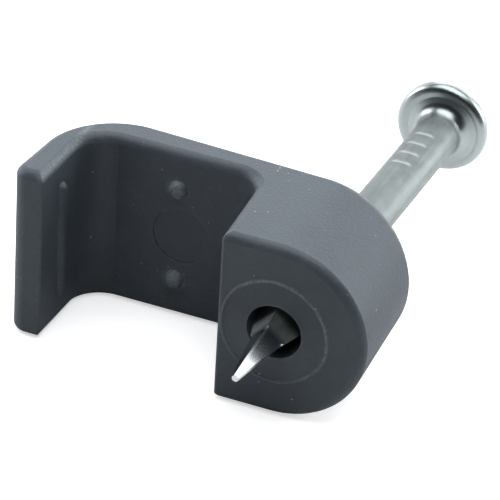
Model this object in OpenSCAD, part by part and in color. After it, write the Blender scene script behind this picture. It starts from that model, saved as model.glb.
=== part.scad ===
// A nail-in clip for flat cable: a moulded hook with its nail started through the block.
// Sizes in millimetres. The origin is on the nail's axis, in the plane of the wall, at mid width.
// X runs from the leg to the nail block, Y from the wall to the nail's head, Z along the cable.

/* [Clip] */
// Width of the clip along the cable
clip_w = 10; // [9.5:0.5:12]
// Depth of the nail block on the nail's axis, wall to back
block_d = 8; // [7.8:0.1:9]
// Fall of the back toward the round end, in degrees
back_fall = 2.7; // [2:0.1:4]
// Lean of the block's round end, in degrees
end_lean = 3.5; // [1:0.5:5]
// Softening of the edges round both side faces
edge_r = 0.46; // [0.3:0.02:0.5]

/* [Cable channel] */
// Nail's axis to the channel's side at the wall
channel_off = 3.15; // [3:0.05:3.6]
// Width of the channel's mouth
channel_w = 10.45; // [9:0.05:13]
// Depth of the channel from the wall
channel_d = 6.45; // [5.8:0.05:6.6]
// Lean of the channel's side on the block, in degrees
channel_lean = 4.3; // [0:0.1:6]
// Fillet between the block and the channel's back
block_fillet = 1.6; // [0.8:0.1:2]
// Fillet between the leg and the channel's back
leg_fillet = 1.75; // [0.8:0.05:2]

/* [Leg] */
// Thickness of the leg at its tip
leg_t = 1.88; // [1.6:0.02:2.4]
// Taper of the leg's outer face, in degrees
leg_taper = 3.4; // [0:0.1:4]
// Gap left between the leg's tip and the wall
leg_gap = 0.8; // [0.5:0.1:1.4]
// Radius of the bend between the leg and the back
bend_r = 4.25; // [3:0.05:4.4]

/* [Cable grip] */
// Width of the rib on the leg's inner face
rib_w = 0.8; // [0.7:0.05:1.2]
// Height of the rib
rib_h = 0.3; // [0.2:0.02:0.34]
// Length of the rib along the cable
rib_l = 7; // [5:0.1:8]
// Wall to the rib's middle
rib_y = 3.1; // [2.6:0.1:3.4]
// Height of the pips on the channel's back
pip_h = 0.4; // [0.3:0.02:0.5]
// Width of each pip
pip_d = 1.1; // [0.9:0.05:1.3]
// Spacing of the pips along the cable
pip_step = 5.5; // [4.6:0.1:6]

/* [Nail] */
// Diameter of the shank
nail_d = 2.5; // [2.1:0.02:2.7]
// Length of the nail, blunt end to top of head
nail_l = 29.9; // [27:0.1:32]
// Length of the point standing out past the wall face
nail_start = 4.9; // [4:0.1:6]
// Diameter of the head
head_d = 5.3; // [4.8:0.1:5.8]
// Thickness of the head
head_t = 1; // [0.8:0.05:1.2]
// Offset of the head from the shank's axis, toward the leg
head_off = 0.15; // [0.05:0.05:0.3]
// Slope of the head's underside, in degrees
under_angle = 18; // [12:1:22]
// Length of the slender part of the point
point_l = 3.95; // [3:0.05:4.5]
// Half angle of the point's four faces, in degrees
point_angle = 6.4; // [5:0.2:8]
// Width across the faces at the blunt end
point_end = 0.36; // [0.3:0.02:0.5]
// Half angle of the shoulder between the point and the shank, in degrees
shoulder_angle = 13; // [11:1:20]
// Flat taken off the point's four ridges
ridge_t = 0.08; // [0.04:0.01:0.1]
// Spacing of the grip marks below the head
grip_step = 1.17; // [1:0.01:1.4]

/* [Hole] */
// Running clearance round the shank
bore_clear = 0.04; // [0.03:0.01:0.08]
// Clearance round the shank at the hole's mouth
mouth_clear = 0.27; // [0.2:0.01:0.35]
// Depth of the wide mouth
mouth_d = 2.5; // [1.5:0.1:4]

/* [Hidden] */
$fn = 64;

// Faces of the clip
half_w = clip_w / 2;
leg_in_x = -(channel_off + channel_w);
leg_out_x = leg_in_x - leg_t;
far_x = clip_w;
fall = tan(back_fall);
taper = tan(leg_taper);

// Corners of the clip's side view
bend_y = (block_d - fall * leg_out_x) / (1 + fall * taper);
bend_at = [leg_out_x + taper * bend_y, bend_y];
tip_out_at = [leg_out_x + taper * leg_gap, leg_gap];
tip_in_at = [leg_in_x, leg_gap];
foot_at = [-channel_off, 0];
block_root_at = [-channel_off - tan(channel_lean) * channel_d, channel_d];
leg_root_at = [leg_in_x, channel_d];

// Where the round end's axis leaves the back
seat_y = block_d / (1 - fall * tan(end_lean));
seat_at = [-tan(end_lean) * seat_y, seat_y];

// Small rounds along the cable
tip_out_r = 0.8;
tip_in_r = 0.12;
foot_r = 0.2;

// Marks left by the mould
mark_h = 0.06;
ring_inset = 0.23;
ring_r = channel_off - ring_inset;
ring_bead_r = 0.12;
disc_r = 1.65;
pip_shift = 0.2;
disc_shift = 0.5;
channel_mid_x = (leg_in_x + block_root_at[0]) / 2;
pip_x = channel_mid_x + pip_shift;
disc_x = channel_mid_x + disc_shift;

// Round sections that give the rib and the pips their width and height
rib_r = (pow(rib_w / 2, 2) + pow(rib_h, 2)) / (2 * rib_h);
pip_r = (pow(pip_d / 2, 2) + pow(pip_h, 2)) / (2 * pip_h);

// Hole through the block
nail_r = nail_d / 2;
bore_r = nail_r + bore_clear;
mouth_r = nail_r + mouth_clear;
throat_l = 0.5;

// Nail, measured from its blunt end
head_r = head_d / 2;
head_z = nail_l - head_t;
rim_share = 0.42;
rim_r = rim_share * head_t;
under_land = 0.05;
under_r = head_r - rim_r - head_off - under_land;
neck_full_r = 0.7;
neck_r = min(neck_full_r, (under_r - nail_r) / (1 - sin(under_angle)));
grip_drop = 3.01;
grip_z = head_z - grip_drop;
grip_h = 0.07;
grip_r = 0.25;
grip_count = 4;

// Nail's point: distances from its axis at the blunt end and at the crease below the shoulder
face_end_r = point_end / 2;
face_crease_r = face_end_r + point_l * tan(point_angle);
ridge_end_r = sqrt(2) * face_end_r - ridge_t;
ridge_crease_r = sqrt(2) * face_crease_r - ridge_t;
ridge_flare = 45;

// Softened edges: an arc that crosses both faces at edge_r from the sharp corner
soft_share = 1.3;
soft_mid = soft_share * edge_r;
soft_r = norm([soft_mid - edge_r, soft_mid]);
reach_share = 1.2;
soft_reach = reach_share * edge_r;

// Overrun of cutting shapes, and their short and long laps where a straight edge runs into a bend
over = 1;
lap = 0.03;
long_lap = 0.3;

// Rounds cross their two sides by a hair, so that no sliver is left where they meet
snug = 1.001;
corner_reach = 1.3;

// Stretches of each side face's edge
side_stretches = 9;

function unit(a) = [cos(a), sin(a)];
function heading(p, q) = atan2(q[1] - p[1], q[0] - p[0]);
function turn(arc, r) = arc / r * 180 / PI;

// Centre and touching points of a round in the corner whose sides leave it at angles a and b
function round_centre(at, a, b, r) = at + unit((a + b) / 2) * r / sin((b - a) / 2);
function round_touch(at, a, b, r, side) = at + unit(side) * r / tan((b - a) / 2);

// Side angles of the four large rounds
bend_a = heading(bend_at, tip_out_at);
bend_b = -back_fall;
root_a = 180;
root_b = 360 + heading(block_root_at, foot_at);
inner_a = -90;
inner_b = 0;
tip_a = 0;
tip_b = heading(tip_out_at, bend_at);

// Flat shape that takes a corner off to a round
module corner_cut(at, a, b, r) {
    centre = round_centre(at, a, b, r);
    to_a = round_touch(at, a, b, r, a) - centre;
    to_b = round_touch(at, a, b, r, b) - centre;
    difference() {
        polygon([
            centre, centre + to_a * corner_reach, at - unit((a + b) / 2) * r, centre + to_b * corner_reach
        ]);
        translate(centre) circle(r * snug);
    }
}

// Side view of the cable channel
module channel_view() {
    mouth_at = foot_at + (foot_at - block_root_at) * over / channel_d;
    difference() {
        polygon([[leg_in_x, -over], mouth_at, block_root_at, leg_root_at]);
        corner_cut(block_root_at, root_a, root_b, block_fillet);
        corner_cut(leg_root_at, inner_a, inner_b, leg_fillet);
    }
}

// Side view of the clip
module clip_view() {
    difference() {
        polygon([
            [far_x, 0], [far_x, block_d - fall * far_x], bend_at, tip_out_at,
            tip_in_at + [over, 0], [leg_in_x + over, 0]
        ]);
        corner_cut(bend_at, bend_a, bend_b, bend_r);
        channel_view();
        corner_cut(tip_out_at, tip_a, tip_b, tip_out_r);
        corner_cut(tip_in_at, 90, 180, tip_in_r);
        corner_cut(foot_at, 0, heading(foot_at, block_root_at), foot_r);
    }
}

// Front view of the clip: a bar with one round end, leaning with that end
module front_view() {
    circle(half_w);
    translate([2 * leg_out_x, -half_w]) square([-2 * leg_out_x, clip_w]);
}

// Section of a softened edge, with the clip on the right and below
module edge_view() {
    difference() {
        translate([-soft_reach, -soft_reach]) square(2 * soft_reach);
        translate([soft_mid, -soft_mid]) circle(soft_r);
    }
}

// Section of a softened edge at a distance r from the middle, with the clip toward the middle
module bend_section(r) {
    translate([r, 0]) mirror([1, 0]) edge_view();
}

// Softens a straight edge of the upper side face, with the clip on the left of the way from p to q
module edge_line(p, q, before, after) {
    translate([p[0], p[1], half_w]) rotate([0, 0, heading(p, q)]) translate([-before, 0, 0])
        rotate([90, 0, 90]) linear_extrude(norm(q - p) + before + after) edge_view();
}

// Softens the upper side face's edge round an outside bend
module edge_bend(centre, r, from, to) {
    extra = turn(lap, r);
    translate([centre[0], centre[1], half_w]) rotate([0, 0, from - extra])
        rotate_extrude(angle = to - from + 2 * extra) bend_section(r * snug);
}

// Softens the upper side face's edge round an inside bend
module edge_hollow(centre, r, from, to) {
    extra = turn(long_lap, r);
    translate([centre[0], centre[1], half_w]) rotate([0, 0, from - extra])
        rotate_extrude(angle = to - from + 2 * extra) translate([r * snug, 0]) edge_view();
}

// Touching points and centres of the four large rounds
bend_back = round_touch(bend_at, bend_a, bend_b, bend_r, bend_b);
bend_leg = round_touch(bend_at, bend_a, bend_b, bend_r, bend_a);
bend_mid = round_centre(bend_at, bend_a, bend_b, bend_r);
tip_leg = round_touch(tip_out_at, tip_a, tip_b, tip_out_r, tip_b);
tip_flat = round_touch(tip_out_at, tip_a, tip_b, tip_out_r, tip_a);
tip_mid = round_centre(tip_out_at, tip_a, tip_b, tip_out_r);
inner_leg = round_touch(leg_root_at, inner_a, inner_b, leg_fillet, inner_a);
inner_back = round_touch(leg_root_at, inner_a, inner_b, leg_fillet, inner_b);
inner_mid = round_centre(leg_root_at, inner_a, inner_b, leg_fillet);
root_back = round_touch(block_root_at, root_a, root_b, block_fillet, root_a);
root_foot = round_touch(block_root_at, root_a, root_b, block_fillet, root_b);
root_mid = round_centre(block_root_at, root_a, root_b, block_fillet);

// Softens one stretch of the upper side face's edge, in order from the bend round to the block's foot
module side_edge(stretch) {
    if (stretch == 0) edge_bend(bend_mid, bend_r, 90 - back_fall, 180 - leg_taper);
    if (stretch == 1) edge_line(bend_leg, tip_leg, long_lap, long_lap);
    if (stretch == 2) edge_bend(tip_mid, tip_out_r, 180 - leg_taper, 270);
    if (stretch == 3) edge_line(tip_flat, tip_in_at, long_lap, over);
    if (stretch == 4) edge_line(tip_in_at, inner_leg, over, lap);
    if (stretch == 5) edge_hollow(inner_mid, leg_fillet, 90, 180);
    if (stretch == 6) edge_line(inner_back, root_back, lap, lap);
    if (stretch == 7) edge_hollow(root_mid, block_fillet, channel_lean, 90);
    if (stretch == 8) edge_line(root_foot, foot_at, lap, over);
}

// Softens the edge of a face with a round end, and the straight edges that run into it
module end_edge(run) {
    rotate([0, 0, -90]) rotate_extrude(angle = 180) bend_section(half_w);
    for (side = [0, 1]) mirror([0, side, 0]) translate([-run, 0, 0])
        rotate([90, 0, 90]) linear_extrude(run) bend_section(half_w);
}

// Takes the sharp edges off its child, one cut at a time: back, front, then both side faces
module softened(cuts) {
    if (cuts == 0) children();
    else difference() {
        softened(cuts - 1) children();
        if (cuts == 1) translate([seat_at[0], seat_at[1], 0]) rotate([-90, 0, -back_fall])
            end_edge(norm(bend_back - seat_at) + long_lap);
        else if (cuts == 2) rotate([90, 0, 0]) end_edge(channel_off + over);
        else mirror([0, 0, cuts % 2]) side_edge(floor((cuts - 3) / 2));
    }
}

// Rib on the leg that holds the cable in
module rib() {
    translate([leg_in_x + rib_h - rib_r, rib_y, -rib_l / 2]) rotate_extrude() intersection() {
        square([rib_r, rib_l]);
        union() {
            translate([0, rib_r]) circle(rib_r);
            translate([0, rib_l - rib_r]) circle(rib_r);
            translate([0, rib_r]) square([rib_r, rib_l - 2 * rib_r]);
        }
    }
}

// Hole for the nail, with its wide mouth at the wall
module hole() {
    rotate([-90, 0, 0]) {
        translate([0, 0, -over]) cylinder(r = bore_r, h = block_d + 2 * over);
        translate([0, 0, -over]) cylinder(r = mouth_r, h = mouth_d + over);
        translate([0, 0, mouth_d]) cylinder(r1 = mouth_r, r2 = bore_r, h = throat_l);
    }
}

// Fine bead round the hole, standing proud of the wall face
module ring() {
    translate([0, ring_bead_r - mark_h, 0]) rotate([-90, 0, 0]) rotate_extrude()
        translate([ring_r, 0]) circle(ring_bead_r);
}

// Disc sunk into the channel's back
module disc() {
    translate([disc_x, channel_d + mark_h, 0]) rotate([90, 0, 0]) cylinder(r = disc_r, h = over);
}

module clip_body() {
    color([0.25, 0.27, 0.3]) {
        difference() {
            union() {
                softened(2 + 2 * side_stretches) intersection() {
                    translate([0, 0, -clip_w]) linear_extrude(2 * clip_w) clip_view();
                    rotate([-90, 0, end_lean]) translate([0, 0, -2 * block_d])
                        linear_extrude(4 * block_d) front_view();
                }
                rib();
                ring();
            }
            hole();
            disc();
        }
        for (side = [-1, 1])
            translate([pip_x, channel_d + pip_r - pip_h, side * pip_step / 2]) sphere(pip_r);
    }
}

// Half section of the shank, with the hollow neck and the sloped underside that run into the head
module shank_view() {
    under = tan(under_angle);
    neck_at = [nail_r + neck_r, head_z - (under_r - nail_r - neck_r) * under - neck_r / cos(under_angle)];
    neck_end = neck_at + neck_r * [-sin(under_angle), cos(under_angle)];
    square([nail_r, head_z + head_t / 2]);
    polygon([[0, head_z - under_r * under], [under_r + lap / under, head_z + lap], [0, head_z + lap]]);
    difference() {
        polygon([[nail_r / 2, neck_at[1]], [nail_r, neck_at[1]], neck_end, [nail_r / 2, neck_end[1]]]);
        translate(neck_at) circle(neck_r * snug);
    }
}

// Half section of the round-edged head
module head_view() {
    translate([0, head_z]) square([head_r - rim_r, head_t]);
    translate([0, head_z + rim_r]) square([head_r, head_t - 2 * rim_r]);
    translate([head_r - rim_r, head_z + rim_r]) circle(rim_r);
    translate([head_r - rim_r, nail_l - rim_r]) circle(rim_r);
}

// Takes one face off the point: slender as far as the crease, then flaring out past the shank
module point_cut(facing, end_r, crease_r, flare) {
    slope = (crease_r - end_r) / point_l;
    rotate([0, 0, facing]) rotate([90, 0, 0]) linear_extrude(2 * nail_d, center = true) polygon([
        [end_r - slope * over, -over], [crease_r, point_l],
        [nail_d, point_l + (nail_d - crease_r) / tan(flare)], [nail_d, -over]
    ]);
}

module nail() {
    color([0.75, 0.76, 0.75]) translate([0, -nail_start, 0]) rotate([-90, 0, 0]) {
        difference() {
            rotate_extrude() shank_view();
            for (facing = [0:90:270]) {
                point_cut(facing + 45, face_end_r, face_crease_r, shoulder_angle);
                point_cut(facing, ridge_end_r, ridge_crease_r, ridge_flare);
            }
            for (side = [-1, 1], mark = [0:grip_count - 1])
                translate([0, side * (nail_r + grip_r - grip_h), grip_z - mark * grip_step])
                    rotate([0, 90, 0]) cylinder(r = grip_r, h = nail_d, center = true);
        }
        translate([-head_off, 0, 0]) rotate_extrude() head_view();
    }
}

clip_body();
nail();
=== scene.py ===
# Nail-in cable clip: its looks, light, floor and camera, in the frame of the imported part
import math

import bpy
from mathutils import Matrix, Vector


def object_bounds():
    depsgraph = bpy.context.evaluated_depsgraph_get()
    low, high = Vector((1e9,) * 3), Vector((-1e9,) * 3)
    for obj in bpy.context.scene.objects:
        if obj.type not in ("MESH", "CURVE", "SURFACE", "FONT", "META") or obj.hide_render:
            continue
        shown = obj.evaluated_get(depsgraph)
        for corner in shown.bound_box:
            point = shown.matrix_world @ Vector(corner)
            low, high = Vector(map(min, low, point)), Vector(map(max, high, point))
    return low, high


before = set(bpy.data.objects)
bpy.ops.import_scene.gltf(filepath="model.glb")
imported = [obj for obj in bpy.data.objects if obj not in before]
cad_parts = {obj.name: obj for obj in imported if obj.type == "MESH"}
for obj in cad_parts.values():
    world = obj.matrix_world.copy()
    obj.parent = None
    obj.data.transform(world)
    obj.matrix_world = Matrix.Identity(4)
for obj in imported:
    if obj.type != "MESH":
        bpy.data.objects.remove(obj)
cad_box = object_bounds()

MM = 0.001

# Camera: angles in degrees, lengths in mm, places in pixels of the square image
IMAGE_PX = 500
SENSOR_W = 36.0
VIEW_AZIMUTH = 21.77
VIEW_ELEVATION = 30.95
VIEW_ROLL = 3.4
VIEW_DISTANCE = 186.0
VIEW_PX_PER_MM = 19.66
ORIGIN_PX = (273.7, 332.1)
DISPLAY_GAMMA = 0.8

# Floor: lengths in mm, shades as shares of white
FLOOR_W = 1500.0
FLOOR_SHADE = 0.63
FLOOR_CLOUD_SHADE = 0.98 * FLOOR_SHADE
FLOOR_CLOUD_SCALE = 0.02
FLOOR_ROUGH = 0.8
FLOOR_SHINE = 0.2
FLOOR_GLOW = 0.62

# Soft boxes: name, place and size in mm, power in watts; all of them face the clip
AIM = (-4.0, 6.0, 0.0)
SOFT_BOXES = [
    ("light_top", (0.0, 20.0, 240.0), (300.0, 300.0), 0.90),
    ("light_back", (-20.0, 300.0, 90.0), (260.0, 180.0), 0.50),
    ("light_back_left", (-240.0, 210.0, 110.0), (220.0, 230.0), 0.28),
    ("light_back_right", (240.0, 210.0, 110.0), (220.0, 230.0), 0.68),
    ("light_left", (-320.0, 10.0, 110.0), (240.0, 220.0), 0.72),
]
LIGHT_TINT = (0.985, 1.0, 1.01)
WORLD_TINT = (0.75, 0.95, 1.25, 1.0)
WORLD_LIGHT = 0.02

# Sockets of the node that mixes two numbers or two colours
MIX_SHARE = 0
MIX_NUMBERS = (2, 3)
MIX_COLOURS = (6, 7)
MIX_COLOUR_OUT = 2

# Noise: the middle stretch of its values that ramps spread out, its layers and what each finer one keeps
NOISE_MIDDLE = (0.35, 0.65)
NOISE_DETAIL = 3.0
NOISE_ROUGH = 0.55

# Plastic: linear colours, lengths in mm, marks for each mm, shares from 0 to 1
PLASTIC_DARK = (0.086, 0.104, 0.121, 1.0)
PLASTIC_LIGHT = (0.110, 0.128, 0.148, 1.0)
# Scuffed plastic, also the colour of the painted highlights on the ring and the pips
PLASTIC_SCUFF_AND_HIGHLIGHT = (0.26, 0.29, 0.31, 1.0)
PLASTIC_SPECK = (0.60, 0.63, 0.65, 1.0)
PLASTIC_SCATTER = 0.5
PLASTIC_SCATTER_SHARE = 0.7
PLASTIC_SHINE = 0.6
PLASTIC_ROUGH = (0.44, 0.58)
ROUGH_MIDDLE = (0.25, 0.75)
MOTTLE_SCALE = 0.5
GRAIN_SCALE = 6.0
GRAIN_DETAIL = 2.0
GRAIN_SHARE = 0.35
GRAIN_DEPTH = 0.02

# Scratches along the edges, found by the cosine between the true normal and a rounded one
WEAR_REACH = 0.3
WEAR_BEVEL_SAMPLES = 6
WEAR_TURN = (1.0, 0.9)
WEAR_SCALE = 1.6
WEAR_DETAIL = 4.0
WEAR_ROUGH = 0.7
WEAR_MIDDLE = (0.5, 0.68)
WEAR_SHARE = 0.35

# Pale specks: the chance of none in a cell, where they are few and where they crowd
SPECK_SCALE = 3.2
SPECK_R = 0.17
SPECK_FEW = 0.97
SPECK_CROWD = 0.8
SPECK_SHARE = 0.5

# Painted highlight on the raised ring round the hole, strongest towards its upper right where light
# catches its flank
RING_R = 2.92
RING_REACH = 0.16
RING_Y = (0.1, 0.02)
RING_SIDE = (-1.5, 2.0)
RING_HIGHLIGHT_FAINT = 0.2
RING_HIGHLIGHT_SHARE = 0.8

# Painted highlights on the two pips, at equal heights above and below the middle, and rubbed marks on the
# leg's inner edge
PIP_X = -8.42
PIP_Y = 6.2
PIP_Z = 2.75
PIP_REACH = 0.8
PIP_HIGHLIGHT_SHARE = 0.85
LEG_EDGE_X = -13.75
LEG_EDGE_REACH = 0.3
LEG_EDGE_SHARE = 0.5
LEG_EDGE_Z = (4.5, 4.7)
RUB_AND_HIGHLIGHT_MIDDLE = (0.35, 0.6)
RUB_AND_HIGHLIGHT_LEAST = 0.4

# Zinc plate: linear colours, streaks and blotches for each mm, places along the nail and depths in mm
ZINC_DARK = (0.200, 0.217, 0.216, 1.0)
ZINC_LIGHT = (0.29, 0.314, 0.312, 1.0)
# A lighter copy of the zinc for the head, a painted sheen
ZINC_HEAD_PAINTED_SHEEN = (0.33, 0.357, 0.355, 1.0)
ZINC_RUBBED = (0.46, 0.49, 0.49, 1.0)
# Bare steel at the point, made lighter as a painted highlight on its facets
BARE_STEEL_AND_HIGHLIGHT = (0.44, 0.458, 0.466, 1.0)
SHANK_ROUGH = (0.54, 0.68)
SHANK_MIDDLE = (0.3, 0.7)
HEAD_ROUGH = 0.32
POINT_ROUGH = 0.2
POINT_PLACE = (-1.2, -0.4)
HEAD_PLACE = (22.8, 23.6)
GRIP_COUNT = 4
GRIP_FIRST = 20.99
GRIP_STEP = 1.17
GRIP_REACH = 0.2
GRIP_Z = (1.07, 1.2)
STREAK_SCALE = (3.0, 0.2, 3.0)
STREAK_DETAIL = 4.0
STREAK_ROUGH = 0.6
STREAK_SHARE = 0.6
BLOTCH_SCALE = 1.3
ZINC_DEPTH = 0.006


# Camera and light
def make_camera():
    azimuth = math.radians(VIEW_AZIMUTH)
    elevation = math.radians(VIEW_ELEVATION)
    roll = math.radians(VIEW_ROLL)
    flat = math.cos(elevation)
    back = Vector((math.sin(azimuth) * flat, -math.cos(azimuth) * flat, math.sin(elevation)))
    level = Vector((math.cos(azimuth), math.sin(azimuth), 0.0))
    upright = back.cross(level)
    right = math.cos(roll) * level + math.sin(roll) * upright
    up = math.cos(roll) * upright - math.sin(roll) * level
    across = (ORIGIN_PX[0] - IMAGE_PX / 2) / VIEW_PX_PER_MM
    above = (IMAGE_PX / 2 - ORIGIN_PX[1]) / VIEW_PX_PER_MM
    place = (VIEW_DISTANCE * back - across * right - above * up) * MM

    data = bpy.data.cameras.new("camera")
    data.sensor_width = SENSOR_W
    data.lens = SENSOR_W * VIEW_PX_PER_MM * VIEW_DISTANCE / IMAGE_PX
    data.clip_start = MM
    data.clip_end = FLOOR_W * MM * 2
    camera = bpy.data.objects.new("camera", data)
    turn = Matrix((right, up, back)).transposed().to_4x4()
    camera.matrix_world = Matrix.Translation(place) @ turn
    bpy.context.collection.objects.link(camera)
    bpy.context.scene.camera = camera


def make_soft_box(name, place, size, power):
    data = bpy.data.lights.new(name, "AREA")
    data.shape = "RECTANGLE"
    data.size = size[0] * MM
    data.size_y = size[1] * MM
    data.energy = power
    data.color = LIGHT_TINT
    lamp = bpy.data.objects.new(name, data)
    lamp.location = Vector(place) * MM
    lamp.rotation_mode = "QUATERNION"
    lamp.rotation_quaternion = (Vector(AIM) - Vector(place)).to_track_quat("-Z", "Y")
    lamp.visible_camera = False
    bpy.context.collection.objects.link(lamp)


def make_world():
    world = bpy.data.worlds.new("studio")
    bpy.context.scene.world = world
    world.use_nodes = True
    sky = world.node_tree.nodes["Background"]
    sky.inputs["Color"].default_value = WORLD_TINT
    sky.inputs["Strength"].default_value = WORLD_LIGHT


def set_display():
    view = bpy.context.scene.view_settings
    view.view_transform = "Standard"
    view.gamma = DISPLAY_GAMMA


# Nodes that the materials share
def new_material(name):
    material = bpy.data.materials.new(name)
    material.use_nodes = True
    return material, material.node_tree, material.node_tree.nodes["Principled BSDF"]


def link(tree, socket, value):
    if isinstance(value, bpy.types.NodeSocket):
        tree.links.new(value, socket)
    else:
        socket.default_value = value


def add(tree, kind, inputs=None, output=0, **settings):
    """Adds a node, sets or links its inputs by name or number, and gives one of its outputs."""
    node = tree.nodes.new(kind)
    for key, value in settings.items():
        setattr(node, key, value)
    for key, value in (inputs or {}).items():
        link(tree, node.inputs[key], value)
    return node.outputs[output]


def math_node(tree, operation, a, b):
    return add(tree, "ShaderNodeMath", {0: a, 1: b}, operation=operation)


def times(tree, a, b):
    return math_node(tree, "MULTIPLY", a, b)


def larger(tree, a, b):
    return math_node(tree, "MAXIMUM", a, b)


def size_of(tree, value):
    return math_node(tree, "ABSOLUTE", value, 0.0)


def vector_node(tree, operation, inputs, output=0):
    return add(tree, "ShaderNodeVectorMath", inputs, output, operation=operation)


def along_axis(tree, place, axis):
    return add(tree, "ShaderNodeSeparateXYZ", {0: place}, axis)


def ramp(tree, value, low, high, start=0.0, end=1.0):
    """Maps value from low..high to start..end, held at both ends."""
    inputs = {"Value": value, "From Min": low, "From Max": high, "To Min": start, "To Max": end}
    return add(tree, "ShaderNodeMapRange", inputs, clamp=True)


def blend(tree, share, a, b):
    """The number a where share is 0 and b where it is 1."""
    inputs = {MIX_SHARE: share, MIX_NUMBERS[0]: a, MIX_NUMBERS[1]: b}
    return add(tree, "ShaderNodeMix", inputs)


def blend_colour(tree, share, a, b):
    """The colour a where share is 0 and b where it is 1."""
    inputs = {MIX_SHARE: share, MIX_COLOURS[0]: a, MIX_COLOURS[1]: b}
    return add(tree, "ShaderNodeMix", inputs, MIX_COLOUR_OUT, data_type="RGBA")


def place_in_mm(tree, stretch=(1.0, 1.0, 1.0)):
    """The surface's own place in mm, each axis scaled by stretch."""
    place = add(tree, "ShaderNodeTexCoord", output="Object")
    scale = tuple(s / MM for s in stretch)
    return vector_node(tree, "MULTIPLY", {0: place, 1: scale})


def noise(tree, place, scale, detail=NOISE_DETAIL, rough=NOISE_ROUGH):
    inputs = {"Vector": place, "Scale": scale, "Detail": detail, "Roughness": rough}
    return add(tree, "ShaderNodeTexNoise", inputs)


def raise_surface(tree, shader, height, strength, depth):
    """Bumps the surface by height, at most depth mm."""
    inputs = {"Height": height, "Strength": strength, "Distance": depth * MM}
    link(tree, shader.inputs["Normal"], add(tree, "ShaderNodeBump", inputs))


def closeness(tree, place, centre, reach):
    """1 within half of reach mm from centre, falling to 0 at reach."""
    distance = vector_node(tree, "DISTANCE", {0: place, 1: centre}, "Value")
    return ramp(tree, distance, reach, reach / 2)


def band(tree, value, middle, reach):
    """1 where value is at middle, falling to 0 at reach from it."""
    off = size_of(tree, math_node(tree, "SUBTRACT", value, middle))
    return ramp(tree, off, reach, 0.0)


# The clip's plastic
def edge_wear(tree, place):
    """Share of scratched plastic, 0 on flat faces and most on the edges."""
    rounded = add(tree, "ShaderNodeBevel", {"Radius": WEAR_REACH * MM}, samples=WEAR_BEVEL_SAMPLES)
    normal = add(tree, "ShaderNodeNewGeometry", output="Normal")
    alike = vector_node(tree, "DOT_PRODUCT", {0: rounded, 1: normal}, "Value")
    edge = ramp(tree, alike, *WEAR_TURN)
    scratch = noise(tree, place, WEAR_SCALE, WEAR_DETAIL, WEAR_ROUGH)
    worn = times(tree, edge, ramp(tree, scratch, *WEAR_MIDDLE))
    return times(tree, worn, WEAR_SHARE)


def specks(tree, place):
    """1 on small scattered dots, 0 between them."""
    cells = {"Vector": place, "Scale": SPECK_SCALE}
    distance = add(tree, "ShaderNodeTexVoronoi", cells, "Distance")
    draw = add(tree, "ShaderNodeTexVoronoi", cells, "Color")
    chance = add(tree, "ShaderNodeSeparateColor", {0: draw}, "Red")
    size = add(tree, "ShaderNodeSeparateColor", {0: draw}, "Green")
    crowd = ramp(tree, noise(tree, place, MOTTLE_SCALE), *NOISE_MIDDLE, SPECK_FEW, SPECK_CROWD)
    kept = math_node(tree, "GREATER_THAN", chance, crowd)
    dot = math_node(tree, "LESS_THAN", distance, times(tree, size, SPECK_R))
    return times(tree, kept, dot)


# Painted highlight: a lighter band on the ring, strongest on its upper right flank
def ring_painted_highlight(tree, place):
    across = vector_node(tree, "MULTIPLY", {0: place, 1: (1.0, 0.0, 1.0)})
    from_axis = vector_node(tree, "LENGTH", {0: across}, "Value")
    at_face = ramp(tree, along_axis(tree, place, "Y"), *RING_Y)
    ring = times(tree, band(tree, from_axis, RING_R, RING_REACH), at_face)
    side = math_node(tree, "ADD", along_axis(tree, place, "X"), along_axis(tree, place, "Z"))
    upper = ramp(tree, side, *RING_SIDE, RING_HIGHLIGHT_FAINT, 1.0)
    return times(tree, times(tree, ring, upper), RING_HIGHLIGHT_SHARE)


def leg_marks(tree, place):
    edge = band(tree, along_axis(tree, place, "X"), LEG_EDGE_X, LEG_EDGE_REACH)
    upper = ramp(tree, along_axis(tree, place, "Z"), *LEG_EDGE_Z)
    return times(tree, times(tree, edge, upper), LEG_EDGE_SHARE)


def rubbed_marks_and_highlights(tree, place, grain):
    """Share of painted highlight on the ring and the pips and of scuffed plastic on the leg's inner edge,
    broken up by the grain.
    """
    marks = larger(tree, ring_painted_highlight(tree, place), leg_marks(tree, place))
    # Painted highlight on each pip
    for pip_z in (PIP_Z, -PIP_Z):
        pip_highlight = closeness(tree, place, (PIP_X, PIP_Y, pip_z), PIP_REACH)
        marks = larger(tree, marks, times(tree, pip_highlight, PIP_HIGHLIGHT_SHARE))
    return times(tree, marks, ramp(tree, grain, *RUB_AND_HIGHLIGHT_MIDDLE, RUB_AND_HIGHLIGHT_LEAST, 1.0))


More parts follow.
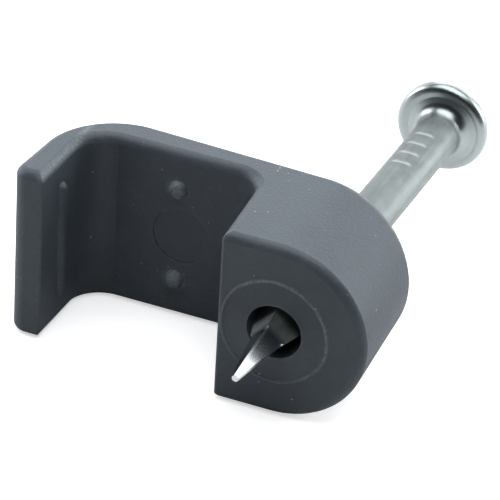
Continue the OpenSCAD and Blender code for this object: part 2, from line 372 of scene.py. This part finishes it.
def make_plastic():
    material, tree, shader = new_material("moulded_plastic")
    place = place_in_mm(tree)
    mottle = noise(tree, place, MOTTLE_SCALE)
    grain = noise(tree, place, GRAIN_SCALE, GRAIN_DETAIL)
    tone = ramp(tree, blend(tree, GRAIN_SHARE, mottle, grain), *NOISE_MIDDLE)
    # Scratched edges and the rubbed leg edge, plus the painted highlights on the ring and the pips
    scuff_and_highlight = larger(tree, edge_wear(tree, place), rubbed_marks_and_highlights(tree, place, grain))
    dust = times(tree, specks(tree, place), SPECK_SHARE)
    colour = blend_colour(tree, tone, PLASTIC_DARK, PLASTIC_LIGHT)
    colour = blend_colour(tree, scuff_and_highlight, colour, PLASTIC_SCUFF_AND_HIGHLIGHT)
    colour = blend_colour(tree, dust, colour, PLASTIC_SPECK)
    link(tree, shader.inputs["Base Color"], colour)

    link(tree, shader.inputs["Roughness"], ramp(tree, mottle, *ROUGH_MIDDLE, *PLASTIC_ROUGH))
    shader.inputs["Specular IOR Level"].default_value = PLASTIC_SHINE
    shader.inputs["Subsurface Weight"].default_value = PLASTIC_SCATTER_SHARE
    shader.inputs["Subsurface Radius"].default_value = (1.0, 1.0, 1.0)
    shader.inputs["Subsurface Scale"].default_value = PLASTIC_SCATTER * MM
    raise_surface(tree, shader, grain, 1.0, GRAIN_DEPTH)
    return material


# The nail's zinc plate
def grip_marks(tree, place, along):
    """1 in the middle of each grip mark on the two sides of the shank, 0 elsewhere."""
    marks = 0.0
    for number in range(GRIP_COUNT):
        grip_place = GRIP_FIRST - number * GRIP_STEP
        marks = larger(tree, marks, band(tree, along, grip_place, GRIP_REACH))
    outer = ramp(tree, size_of(tree, along_axis(tree, place, "Z")), *GRIP_Z)
    return times(tree, marks, outer)


def make_zinc():
    material, tree, shader = new_material("zinc_plated_steel")
    place = place_in_mm(tree)
    along = along_axis(tree, place, "Y")
    past_point = ramp(tree, along, *POINT_PLACE)
    head = ramp(tree, along, *HEAD_PLACE)
    streak = noise(tree, place_in_mm(tree, STREAK_SCALE), 1.0, STREAK_DETAIL, STREAK_ROUGH)
    blotch = noise(tree, place, BLOTCH_SCALE)
    tone = blend(tree, STREAK_SHARE, blotch, streak)
    colour = blend_colour(tree, ramp(tree, tone, *NOISE_MIDDLE), ZINC_DARK, ZINC_LIGHT)
    # Painted sheen: the head takes the lighter zinc
    colour = blend_colour(tree, head, colour, ZINC_HEAD_PAINTED_SHEEN)
    colour = blend_colour(tree, grip_marks(tree, place, along), colour, ZINC_RUBBED)
    # Bare steel at the point, partly a painted highlight
    colour = blend_colour(tree, past_point, BARE_STEEL_AND_HIGHLIGHT, colour)
    link(tree, shader.inputs["Base Color"], colour)

    shank_rough = ramp(tree, tone, *SHANK_MIDDLE, *SHANK_ROUGH)
    plated_rough = blend(tree, head, shank_rough, HEAD_ROUGH)
    link(tree, shader.inputs["Roughness"], blend(tree, past_point, POINT_ROUGH, plated_rough))
    shader.inputs["Metallic"].default_value = 1.0
    raise_surface(tree, shader, tone, past_point, ZINC_DEPTH)
    return material


# The floor, which glows on itself and on the nail but not on the clip
def make_floor_material():
    material, tree, shader = new_material("pale_floor")
    cloud = noise(tree, place_in_mm(tree), FLOOR_CLOUD_SCALE)
    low = (FLOOR_CLOUD_SHADE,) * 3 + (1.0,)
    high = (FLOOR_SHADE,) * 3 + (1.0,)
    link(tree, shader.inputs["Base Color"], blend_colour(tree, cloud, low, high))
    shader.inputs["Roughness"].default_value = FLOOR_ROUGH
    shader.inputs["Specular IOR Level"].default_value = FLOOR_SHINE
    shader.inputs["Emission Color"].default_value = (1.0, 1.0, 1.0, 1.0)
    shader.inputs["Emission Strength"].default_value = FLOOR_GLOW
    return material


def make_floor():
    half = FLOOR_W * MM / 2
    level = cad_box[0][2]
    corners = [(x, y, level) for x, y in ((-half, -half), (half, -half), (half, half), (-half, half))]
    mesh = bpy.data.meshes.new("floor")
    mesh.from_pydata(corners, [], [(0, 1, 2, 3)])
    mesh.materials.append(make_floor_material())
    floor = bpy.data.objects.new("floor", mesh)
    bpy.context.collection.objects.link(floor)
    lit_by_floor = bpy.data.collections.new("lit_by_floor")
    lit_by_floor.objects.link(floor)
    lit_by_floor.objects.link(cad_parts["nail"])
    floor.light_linking.receiver_collection = lit_by_floor


# The scene
def dress(node, material):
    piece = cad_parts[node]
    piece.data.materials.clear()
    piece.data.materials.append(material)


set_display()
make_camera()
make_world()
for box in SOFT_BOXES:
    make_soft_box(*box)
make_floor()
dress("clip_body", make_plastic())
dress("nail", make_zinc())
